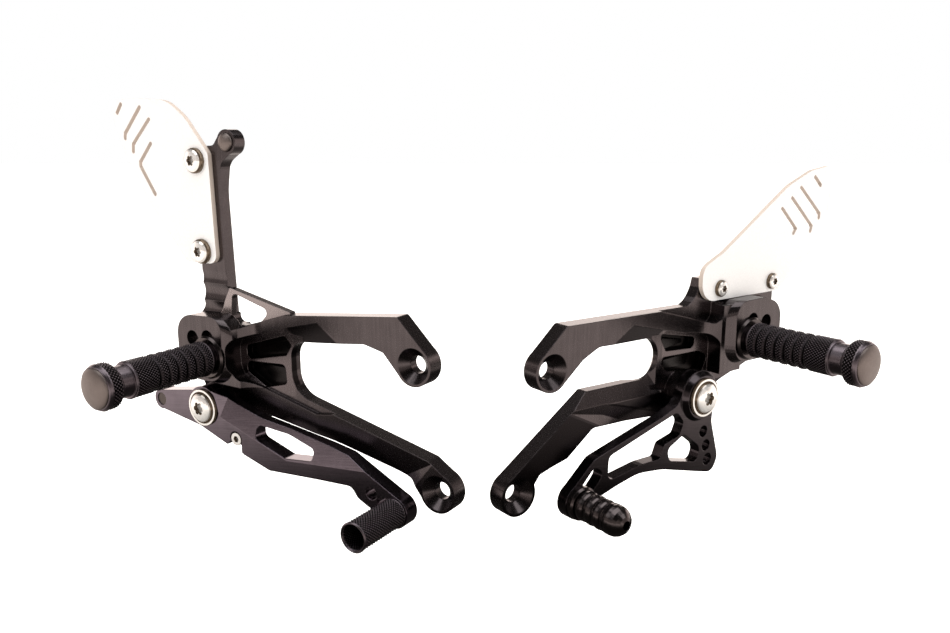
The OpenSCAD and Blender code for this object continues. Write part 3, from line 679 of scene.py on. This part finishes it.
@dataclass
class Knurled:
    """A turned grip whose cylinders carry a diamond knurl.

    The radius at the height w and the angle t is the profile's radius less the knurl's depth times
    1 - min(tri(n t / 2 pi + w / p), tri(n t / 2 pi - w / p)), where tri rises from 0 to 1 and falls
    back over each whole number, so two crossing families of grooves leave small pyramids. The
    profile's corners are pairs of a radius and a height.
    """

    name: str
    node: str
    body: str
    plate: Plate
    axis: Point
    profile: list[Point]
    knurled: list[Span]
    teeth: int = 38
    pitch: float = 2.2
    depth: float = 0.8
    fade: float = 0.4
    columns: int = 304
    step: float = 0.27
    long_mm: float = 3.0
    short_rows: int = 3
    grooves: tuple[float, ...] = ()
    groove_half: float = 1.8
    groove_deep: float = 1.7
    groove_least: float = 0.25
    # Painted shade: the lightness painted at the bottom of the knurl's valleys.
    valley_shade: float = 0.0

    def build(self, material: bpy.types.Material, slot: str) -> bpy.types.Object:
        """Builds the grip, gives it its finish and lets it stand for its CAD node.

        The attribute crest holds painted shade: 1 on top of the knurl, and the valley's own painted
        lightness at its bottom, so the valleys and grooves are painted darker.

        Args:
            material: Finish of the grip.
            slot: Material slot of the record; not used.

        Returns:
            The finished piece.
        """
        heights, radii = self.samples()
        angles = np.linspace(0, 2 * math.pi, self.columns, endpoint=False)
        phase = self.teeth * angles[None, :] / (2 * math.pi)
        climb = heights[:, None] / self.pitch
        ridge = np.minimum(triangle(phase + climb), triangle(phase - climb))
        share = self.share(heights)[:, None]
        r = radii[:, None] - self.depth * share * (1 - ridge)
        u = self.axis[0] + r * np.cos(angles)[None, :]
        z = self.axis[1] + r * np.sin(angles)[None, :]
        w = np.broadcast_to(heights[:, None], r.shape)
        piece = make_mesh(self.name, self.plate.place(u, w, z))
        # Painted shade: darker in the knurl's valleys and in the grip's grooves, kept in the crest
        # attribute.
        crest = piece.data.attributes.new(SHADE_ATTRIBUTE, "FLOAT", "POINT")
        light = (1 - share * (1 - ridge)) * self.light(heights)[:, None]
        crest.data.foreach_set("value", (self.valley_shade + (1 - self.valley_shade) * light).ravel())
        weld_and_orient(piece)
        piece.data.materials.append(material)
        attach(piece, self.body)
        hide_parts(self.node)
        LOG.info("%s: %d faces", self.name, len(piece.data.polygons))
        return piece

    def samples(self) -> tuple[np.ndarray, np.ndarray]:
        """Works out the rows: the profile's corners, and steps between them.

        A groove takes off its depth times 1 less the square of the distance from its middle over half
        its width.

        Returns:
            Heights and radii of the rows in mm.
        """
        heights: list[float] = []
        radii: list[float] = []
        for (r0, w0), (r1, w1) in zip(self.profile, self.profile[1:]):
            fine = any(low <= w0 and w1 <= high for low, high in self.knurled) or w1 - w0 > self.long_mm
            count = max(1, round(abs(w1 - w0) / self.step)) if fine else self.short_rows
            part = np.linspace(0, 1, count, endpoint=False)
            heights.extend(w0 + (w1 - w0) * part)
            radii.extend(r0 + (r1 - r0) * part)
        heights.append(self.profile[-1][1])
        radii.append(self.profile[-1][0])
        w = np.array(heights)
        r = np.array(radii)
        for centre in self.grooves:
            r = r - self.groove_deep * (1 - self.from_groove(w, centre) ** 2)
        return w, r

    def from_groove(self, heights: np.ndarray, centre: float) -> np.ndarray:
        """How far each row is from a groove's middle: 0 there, and 1 at its edge and beyond."""
        return np.clip(np.abs(heights - centre) / self.groove_half, 0, 1)

    def share(self, heights: np.ndarray) -> np.ndarray:
        """How much of the knurl's depth each row takes: full on the grip, faint in its grooves.

        It rises evenly over the fade at both ends of a knurled stretch. In a groove it is its least
        value, plus the rest times the square of the distance from the middle.

        Args:
            heights: Heights of the rows in mm.

        Returns:
            Shares from 0 to 1.
        """
        total = np.zeros_like(heights)
        for low, high in self.knurled:
            inside = np.minimum(heights - low, high - heights)
            total = np.maximum(total, np.clip(inside / self.fade, 0, 1))
        for centre in self.grooves:
            rise = self.from_groove(heights, centre) ** 2
            total = total * (self.groove_least + (1 - self.groove_least) * rise)
        return total

    def light(self, heights: np.ndarray) -> np.ndarray:
        """Painted shade of each row: 1 on the grip, and falling evenly to the least in its grooves.

        Args:
            heights: Heights of the rows in mm.

        Returns:
            Painted lightness from 0 to 1.
        """
        light = np.ones_like(heights)
        for centre in self.grooves:
            rise = self.from_groove(heights, centre)
            light = light * (self.groove_least + (1 - self.groove_least) * rise)
        return light


@dataclass
class Footpeg:
    """Knurled footpeg: necked grip with ring grooves and a knurled end ring.

    The lead-in is a pair of a radius and a height. The first groove stands groove_first pitches from
    the grip's start.
    """

    side: Side
    plate: Plate
    axis: Point
    seat: float = 24.2
    grip_from: float = 27.0
    grip_to: float = 82.0
    ring_from: float = 89.0
    ring_to: float = 100.5
    grip_r: float = 11.0
    neck_r: float = 9.25
    ring_r: float = 13.3
    cap_r: float = 11.6
    cap_deep: float = 1.1
    cap_dish: float = 1.15
    shank_less: float = 0.8
    lead_in: Point = (0.7, 0.5)
    lip_from: float = 1.2
    lip_floor: float = 1.0
    lip_end: float = 0.3
    lip_less: float = 0.5
    lip_edge: float = 0.9
    ring_rise: float = 3.4
    ring_bevel: float = 2.4
    ring_wall: float = 0.4
    groove_count: int = 6
    groove_pitch: float = 6.4
    groove_first: float = 0.95

    def build(self, material: bpy.types.Material) -> None:
        """Builds the grip in place of the plain one, turned round its axis from a profile.

        The profile runs from the seat's middle over the shank, the grip, its lip, the neck and the
        ring to the middle of the cap's seat.

        Args:
            material: Finish of the grip.
        """
        shank_r = self.neck_r - self.shank_less
        knurl = (self.grip_from + self.lead_in[1], self.grip_to - self.lip_from)
        profile = [
            (POLE_R, self.seat),
            (shank_r, self.seat),
            (shank_r, self.grip_from),
            (self.grip_r - self.lead_in[0], self.grip_from),
            (self.grip_r, knurl[0]),
            (self.grip_r, knurl[1]),
            (self.grip_r - self.lip_less, self.grip_to - self.lip_floor),
            (self.grip_r - self.lip_less, self.grip_to - self.lip_end),
            (self.grip_r - self.lip_edge, self.grip_to),
            (self.neck_r, self.grip_to),
            (self.neck_r, self.ring_from),
            (self.ring_r, self.ring_from + self.ring_rise),
            (self.ring_r, self.ring_to - self.ring_bevel),
            (self.cap_r + self.ring_wall, self.ring_to),
            (self.cap_r, self.ring_to),
            (self.cap_r, self.ring_to - self.cap_deep),
            (POLE_R, self.ring_to - self.cap_dish),
        ]
        steps = [i + self.groove_first for i in range(self.groove_count)]
        Knurled(
            name=f"{self.side.value}_knurled_grip",
            node=f"{self.side.value}_peg_grip",
            body="brackets",
            plate=self.plate,
            axis=self.axis,
            profile=profile,
            knurled=[knurl, (self.ring_from + self.ring_bevel, self.ring_to - self.ring_bevel)],
            grooves=tuple(self.grip_from + self.groove_pitch * step for step in steps),
        ).build(material, "black_turned")


@dataclass
class ToeTube:
    """Open knurled tube on the brake lever's toe. The rim's and bore's bevels are a radius and a height."""

    plate: Plate
    axis: Point
    low: float = 23.8
    length: float = 35.0
    outer_r: float = 8.5
    bore_r: float = 7.2
    floor: float = 3.0
    base_bevel: float = 0.5
    rim_bevel: Point = (0.75, 0.7)
    bore_bevel: Point = (0.4, 0.5)

    def build(self, material: bpy.types.Material) -> None:
        """Builds the tube in place of the plain one, turned round its axis from a profile.

        The profile runs from the base's middle up the outside, over the rim and down the bore to the
        middle of its floor.

        Args:
            material: Finish of the tube.
        """
        high = self.low + self.length
        knurl = (self.low + self.base_bevel, high - self.rim_bevel[1])
        profile = [
            (POLE_R, self.low),
            (self.outer_r - self.base_bevel, self.low),
            (self.outer_r, knurl[0]),
            (self.outer_r, knurl[1]),
            (self.outer_r - self.rim_bevel[0], high),
            (self.bore_r + self.bore_bevel[0], high),
            (self.bore_r, high - self.bore_bevel[1]),
            (self.bore_r, self.low + self.floor),
            (POLE_R, self.low + self.floor),
        ]
        Knurled(
            name="brake_knurled_toe_tube",
            node="brake_toe_tube",
            body="brake_pedal",
            plate=self.plate,
            axis=self.axis,
            profile=profile,
            knurled=[knurl],
            teeth=28,
            pitch=2.0,
            depth=0.75,
            columns=224,
            # Painted shade: lightness at the bottom of the knurl's valleys.
            valley_shade=0.1,
        ).build(material, "black_turned")


@dataclass(frozen=True)
class Lamp:
    """A square soft box. Its size is in metres and its power in watts."""

    name: str
    place: Vector
    target: Vector
    size: float
    power: float

    def build(self) -> None:
        """Hangs the soft box and turns it to its target.

        It shines along its own -Z, so it is tipped by the angle between its direction and straight
        down, and then turned to the direction's heading.
        """
        light = bpy.data.lights.new(self.name, "AREA")
        light.shape = "SQUARE"
        light.size = self.size
        light.energy = self.power
        lamp = bpy.data.objects.new(self.name, light)
        bpy.context.scene.collection.objects.link(lamp)
        lamp.location = self.place
        direction = np.array(self.target) - np.array(self.place)
        d = direction / np.linalg.norm(direction)
        lamp.rotation_euler = (math.acos(-d[2]), 0.0, math.atan2(d[1], d[0]) - math.pi / 2)
        LOG.info("%s: %.1f W", self.name, self.power)


@dataclass
class Studio:
    """White product table, soft boxes and the camera, in metres and degrees.

    To glossy rays the room is bright behind the pair and dark overhead, and the sheet is bright where
    it is far from the pair or behind it.
    """

    floor_z: float = -0.121
    floor_half: float = 6.0
    middle: Vector = (0.03, 0.03, -0.121)
    camera_place: Vector = (0.027872, -0.453864, 0.123723)
    pitch: float = 12.2
    lens: float = 32.59
    sensor: float = 36.0
    clip: Span = (0.01, 20.0)
    lamps: tuple[Lamp, ...] = (
        Lamp("top_box", (0.03, 0.05, 0.85), (0.03, 0.03, 0.0), size=0.9, power=6.0),
        Lamp("left_box", (-0.75, -0.35, 0.75), (-0.05, 0.03, 0.0), size=0.6, power=2.5),
        Lamp("right_box", (0.85, -0.35, 0.75), (0.12, 0.03, 0.0), size=0.6, power=2.5),
    )
    room_colour: str = "#fffdfb"
    room_level: float = 0.88
    gloss_colour: str = "#fff0e8"
    gloss_back: Ramp = Ramp(-0.2, 0.6, 0.5, 2.4)
    gloss_up: Ramp = Ramp(0.28, 0.42, 1.0, 0.04)
    paper_colour: str = "#fffdfa"
    paper_lift: float = 0.72
    sheet_gloss_colour: str = "#fff4ec"
    sheet_far: Ramp = Ramp(0.2, 0.45)
    sheet_behind: Ramp = Ramp(0.15, 0.5)
    sheet_levels: Ramp = Ramp(0.0, 1.0, 0.05, 1.6)

    def build(self) -> None:
        """Sets the camera, the world, the floor and the lamps."""
        self.camera()
        self.world()
        self.floor()
        for lamp in self.lamps:
            lamp.build()

    def camera(self) -> None:
        """Sets the camera at the photograph's place, height and lens."""
        data = bpy.data.cameras.new("camera")
        data.sensor_width = self.sensor
        data.lens = self.lens
        data.clip_start, data.clip_end = self.clip
        cam = bpy.data.objects.new("camera", data)
        bpy.context.scene.collection.objects.link(cam)
        cam.location = self.camera_place
        cam.rotation_euler = (math.radians(90 - self.pitch), 0.0, 0.0)
        bpy.context.scene.camera = cam

    def world(self) -> None:
        """White to the camera, a bright back and a darker front to glossy rays, soft to the rest."""
        world = bpy.data.worlds.new("studio")
        bpy.context.scene.world = world
        world.use_nodes = True
        tree = world.node_tree
        tree.nodes.clear()
        ray = add_node(tree, "ShaderNodeLightPath").outputs
        way = add_node(tree, "ShaderNodeTexCoord").outputs["Generated"]
        parts = add_node(tree, "ShaderNodeSeparateXYZ", links={0: way}).outputs
        back = add_node(tree, "ShaderNodeMapRange", self.gloss_back.sockets, {0: parts["Y"]}).outputs[0]
        up = add_node(tree, "ShaderNodeMapRange", self.gloss_up.sockets, {0: parts["Z"]}).outputs[0]
        level = add_node(tree, "ShaderNodeMath", links={0: back, 1: up}, operation="MULTIPLY").outputs[0]
        gloss = linear(self.gloss_colour)
        room = {"Color": linear(self.room_colour), "Strength": self.room_level}
        white = {"Color": (1, 1, 1, 1), "Strength": 1.0}
        glossy = add_node(tree, "ShaderNodeBackground", {"Color": gloss}, {"Strength": level}).outputs[0]
        soft = add_node(tree, "ShaderNodeBackground", room).outputs[0]
        seen = add_node(tree, "ShaderNodeBackground", white).outputs[0]
        choice = {0: ray["Is Glossy Ray"], 1: soft, 2: glossy}
        lit = add_node(tree, "ShaderNodeMixShader", links=choice).outputs[0]
        choice = {0: ray["Is Camera Ray"], 1: lit, 2: seen}
        full = add_node(tree, "ShaderNodeMixShader", links=choice).outputs[0]
        add_node(tree, "ShaderNodeOutputWorld", links={0: full})

    def floor(self) -> None:
        """White sheet under the object, which keeps the object's shadow and is white elsewhere."""
        half = self.floor_half
        corners = [(x * half, y * half, self.floor_z) for x, y in ((-1, -1), (1, -1), (1, 1), (-1, 1))]
        mesh = bpy.data.meshes.new("floor")
        mesh.from_pydata(corners, [], [(0, 1, 2, 3)])
        sheet = bpy.data.objects.new("floor", mesh)
        bpy.context.scene.collection.objects.link(sheet)
        mat, tree = new_material("white_paper_sheet")
        ray = add_node(tree, "ShaderNodeLightPath").outputs
        white = linear(self.paper_colour)
        paper = add_node(tree, "ShaderNodeBsdfDiffuse", {"Color": white}).outputs[0]
        lift = {"Color": white, "Strength": self.paper_lift}
        glow = add_node(tree, "ShaderNodeEmission", lift).outputs[0]
        dark = add_node(tree, "ShaderNodeEmission", {"Strength": 0.0}).outputs[0]
        choice = {0: ray["Is Camera Ray"], 1: dark, 2: glow}
        lifted = add_node(tree, "ShaderNodeMixShader", links=choice).outputs[0]
        seen = add_node(tree, "ShaderNodeAddShader", links={0: paper, 1: lifted}).outputs[0]
        mirrored = self.sheet_gloss(tree)
        choice = {0: ray["Is Glossy Ray"], 1: seen, 2: mirrored}
        total = add_node(tree, "ShaderNodeMixShader", links=choice).outputs[0]
        add_node(tree, "ShaderNodeOutputMaterial", links={"Surface": total})
        mesh.materials.append(mat)

    def sheet_gloss(self, tree: bpy.types.NodeTree) -> bpy.types.NodeSocket:
        """What glossy rays see of the sheet: dark near the pair, bright far from it or behind it.

        Args:
            tree: Node tree of the sheet.

        Returns:
            Socket with the light.
        """
        place = add_node(tree, "ShaderNodeTexCoord").outputs["Object"]
        reach = add_node(
            tree, "ShaderNodeVectorMath", {1: self.middle}, {0: place}, operation="DISTANCE"
        ).outputs["Value"]
        far = add_node(tree, "ShaderNodeMapRange", self.sheet_far.sockets, {0: reach}).outputs[0]
        depth = add_node(tree, "ShaderNodeSeparateXYZ", links={0: place}).outputs["Y"]
        back = add_node(tree, "ShaderNodeMapRange", self.sheet_behind.sockets, {0: depth}).outputs[0]
        most = add_node(tree, "ShaderNodeMath", links={0: far, 1: back}, operation="MAXIMUM").outputs[0]
        level = add_node(tree, "ShaderNodeMapRange", self.sheet_levels.sockets, {0: most}).outputs[0]
        warm = linear(self.sheet_gloss_colour)
        return add_node(tree, "ShaderNodeEmission", {"Color": warm}, {"Strength": level}).outputs[0]


@dataclass
class Finishes:
    """Every finish of the pair, and the CAD nodes that take it.

    The land is the rim round the pockets of a bracket, and the run-outs are the slopes from its legs
    to its web. The patches are painted light and shade: a painted highlight on the land and the brake's
    web, and painted shade in the pockets, on the run-outs and on the shift side's lower leg.
    """

    plates: dict[Side, Plate]
    pocket_edges: tuple[Line, ...] = (before(-88.0), beyond(-132.0), above(-32.0), below(10.0))
    # Painted highlight on the land round the pockets.
    land_painted_highlight: PaintedPatch = PaintedPatch(pocket_edges, (7.7, 8.2), "#5e5758")
    # Painted shade in the pockets.
    pocket_painted_shade: PaintedPatch = PaintedPatch(pocket_edges, (3.45, 7.6), "#171414")
    # Painted shade on the run-outs.
    run_out_painted_shade: PaintedPatch = PaintedPatch((before(-38.0), beyond(-116.0), above(1.0)), (8.25, 10.35), "#232021")
    # Painted highlight on the brake's web.
    web_painted_highlight: PaintedPatch = PaintedPatch(
        (
            ((-156.0, 12.5), (-131.0, 3.2)),
            ((-131.0, 3.2), (-88.0, 18.0)),
            ((-138.2, 30.5), (-148.0, 13.0)),
        ),
        (7.7, 8.2),
        "#8c8484",
    )
    # Painted shade on the shift side's lower leg.
    low_leg_painted_shade: PaintedPatch = PaintedPatch((below(-26.5),), (10.3, 10.7), "#2d292a")
    words: dict[Kind, tuple[str, ...]] = field(
        default_factory=lambda: {
            Kind.BRONZE: ("bush",),
            Kind.PIN: ("clevis",),
            Kind.STEEL: ("screw", "bolt", "nut", "washer"),
            Kind.GUARD: ("guard",),
            Kind.CAP: ("cap", "plug"),
            Kind.TURNED: ("grip", "collar", "toe"),
            Kind.LEVER: ("lever",),
        }
    )

    def dress(self, nodes: dict[str, bpy.types.Object]) -> dict[Side, dict[Kind, bpy.types.Material]]:
        """Gives every CAD node its finish.

        Args:
            nodes: CAD nodes by name.

        Returns:
            The materials of each side.
        """
        made = {side: self.make(side) for side in self.plates}
        shared = {
            Kind.BRONZE: Bare("bearing_bronze", "#9a7b4c", roughness=0.35).build(),
            Kind.PIN: Bare("blackened_steel_pin", "#5a5350", roughness=0.4).build(),
        }
        for name, node in nodes.items():
            kind = self.choose(name)
            material = shared[kind] if kind in shared else made[Side(name.split("_")[0])][kind]
            node.data.materials.clear()
            node.data.materials.append(material)
            LOG.info("%s: %s", name, material.name)
        return made

    def make(self, side: Side) -> dict[Kind, bpy.types.Material]:
        """Makes the finishes of one side, which follow its plate.

        Args:
            side: The side.

        Returns:
            Its materials by kind.
        """
        brake = side is Side.BRAKE
        # Painted light and shade patches of the side's milled plates.
        milled = (self.land_painted_highlight, self.pocket_painted_shade, self.run_out_painted_shade, self.web_painted_highlight if brake else self.low_leg_painted_shade)
        finishes = {
            Kind.MILLED: Anodised(name=side.value + "_black_anodised_milled", painted_patches=milled),
            Kind.LEVER: Anodised(
                name=side.value + "_black_anodised_lever",
                colour="#534c52" if brake else "#353133",
                line_colour="#6c646b" if brake else "#4a4547",
                roughness=0.17,
                lay=Lay.ALONG,
                line_mm=0.55,
                depth_mm=0.02,
            ),
            Kind.TURNED: Anodised(
                name=side.value + "_black_anodised_turned",
                colour="#423d3d",
                line_colour="#504a4a",
                roughness=0.2,
                lay=Lay.NONE,
                depth_mm=0.006,
                edge_mm=0.08,
            ),
            Kind.KNURLED: Anodised(
                name=side.value + "_black_anodised_knurled",
                colour="#544d51",
                line_colour="#7a7176",
                roughness=0.3,
                lay=Lay.NONE,
                depth_mm=0.0,
                edge_mm=0.02,
                # Painted shade in the knurl's valleys and grooves.
                paints_valley_shade=True,
            ),
            Kind.CAP: Anodised(
                name=side.value + "_grey_anodised_cap",
                colour="#655d5a",
                line_colour="#756c68",
                roughness=0.45,
                lay=Lay.NONE,
                depth_mm=0.004,
            ),
            Kind.GUARD: Bare(
                name=side.value + "_satin_aluminium_plate",
                colour="#fdfbf9",
                roughness=0.45,
                metallic=0.2,
                edge_mm=0.15,
                # Painted shade on the guard's cut edges and slots.
                painted_side_colour="#cbbcb0",
            ),
            Kind.STEEL: Bare(
                name=side.value + "_polished_stainless_steel",
                colour="#fcf9f4",
                roughness=0.09,
                metallic=0.6,
                edge_mm=0.12,
                # Painted shade and dark reflection on the screws' sides and sockets.
                painted_side_colour="#6b5c4c",
            ),
        }
        return {kind: finish.build(self.plates[side]) for kind, finish in finishes.items()}

    def choose(self, name: str) -> Kind:
        """Picks the finish of a CAD node: the first kind with a word that the name holds.

        Args:
            name: Name of the node.

        Returns:
            The kind, or the milled one where no word is in the name.
        """
        for kind, words in self.words.items():
            if any(word in name for word in words):
                return kind
        return Kind.MILLED


def mount_point(record: dict[str, Any], name: str) -> Vector:
    """Place of a mount of the record, in metres."""
    place = next(m["pos_m"] for m in record["mounts"] if m["name"] == name)
    return (place[0], place[1], place[2])


def main() -> None:
    """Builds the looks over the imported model."""
    logging.basicConfig(level=logging.INFO, format="%(name)s: %(message)s")
    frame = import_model()
    scene = bpy.context.scene
    scene.view_settings.view_transform = "Standard"
    Studio().build()
    brake = Plate(yaw=31.4, sign=1, origin=mount_point(frame["record"], "brake_upper_mount"))
    shift = Plate(yaw=35.8, sign=-1, origin=mount_point(frame["record"], "gear_upper_mount"))
    made = Finishes({Side.BRAKE: brake, Side.SHIFT: shift}).dress(frame["nodes"])
    brake_knurl = made[Side.BRAKE][Kind.KNURLED]
    shift_knurl = made[Side.SHIFT][Kind.KNURLED]
    Footpeg(Side.BRAKE, brake, axis=(-145.5, -12.2)).build(brake_knurl)
    Footpeg(Side.SHIFT, shift, axis=(-152.5, -0.5)).build(shift_knurl)
    ToeTube(brake, axis=(-5.0, -80.3)).build(brake_knurl)


if __name__ == "__main__":
    main()
